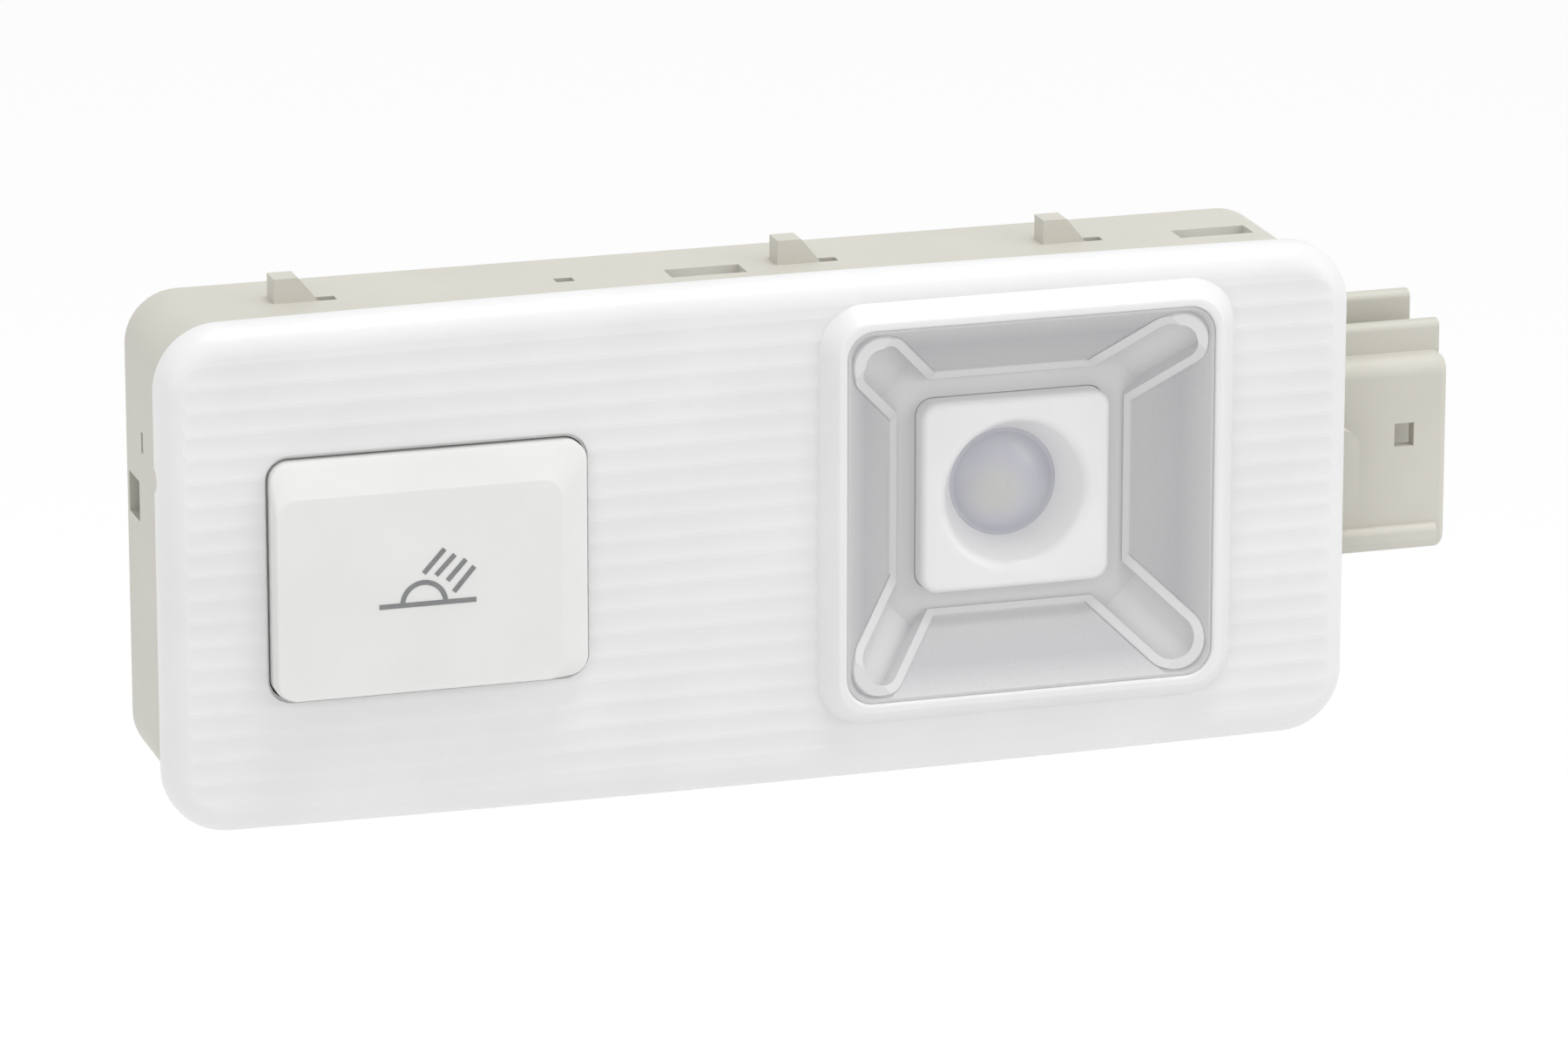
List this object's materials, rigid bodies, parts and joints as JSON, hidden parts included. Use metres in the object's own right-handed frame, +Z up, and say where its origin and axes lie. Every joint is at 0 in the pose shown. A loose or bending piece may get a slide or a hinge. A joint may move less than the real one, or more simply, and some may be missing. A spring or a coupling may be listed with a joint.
{
  "type": "car courtesy light",
  "caption": "Rectangular car courtesy light with a ribbed milky lens, a hinged push key, a square reflector with a reading spot, snap fins and a plug socket at one end.",
  "frame": {"origin": "middle of the lens at the surface of the trim panel that the lamp is set in", "axes": "+X along the lamp towards the plug socket, +Z up across it, +Y back into the trim; the lens faces -Y"},
  "size_m": [0.1163, 0.0218, 0.0454],
  "materials": {
    "milky_lens": "satin milky polycarbonate",
    "cream_housing": "matte moulded",
    "satin_reflector": "satin silver grey",
    "white_bezel": "satin",
    "clear_optic": "clear moulded optic",
    "white_key": "fine matte grain",
    "board_laminate": "solder mask",
    "contact_metal": "tin plated",
    "screw_steel": "zinc plated",
    "black_plastic": "moulded",
    "led_package": "phosphor and white package",
    "can_aluminium": "drawn can"
  },
  "bodies": {
    "lamp": {"lens_cover": "milky_lens", "rear_housing": "cream_housing", "reflector": "satin_reflector", "spot_bezel": "white_bezel", "spot_lens": "clear_optic", "circuit_board": "board_laminate", "connector_pins": "contact_metal", "board_screws": "screw_steel", "switch_body": "black_plastic", "switch_legs": "contact_metal", "spot_led": "led_package", "courtesy_led_left": "led_package", "courtesy_led_middle": "led_package", "courtesy_led_right": "led_package", "capacitor": "can_aluminium", "driver_chip": "black_plastic", "polarity_diode": "black_plastic", "resistors": "black_plastic"},
    "key": {"button": "white_key"},
    "plunger": {"switch_plunger": "black_plastic"}
  },
  "joints": [
    {"name": "key_press", "type": "hinge", "parent": "lamp", "child": "key", "pos_m": [-0.0296, 0.0002, 0.0087], "axis": [1, 0, 0], "range_deg": [0, 2.5], "stiffness_Nm_per_rad": 0.3, "springref_deg": -1.15},
    {"name": "plunger_press", "type": "slide", "parent": "lamp", "child": "plunger", "axis": [0, 1, 0], "range_m": [0, 0.0006]}
  ],
  "couplings": [
    {"joint": "plunger_press", "follows": "key_press", "m_per_rad": 0.0137}
  ]
}
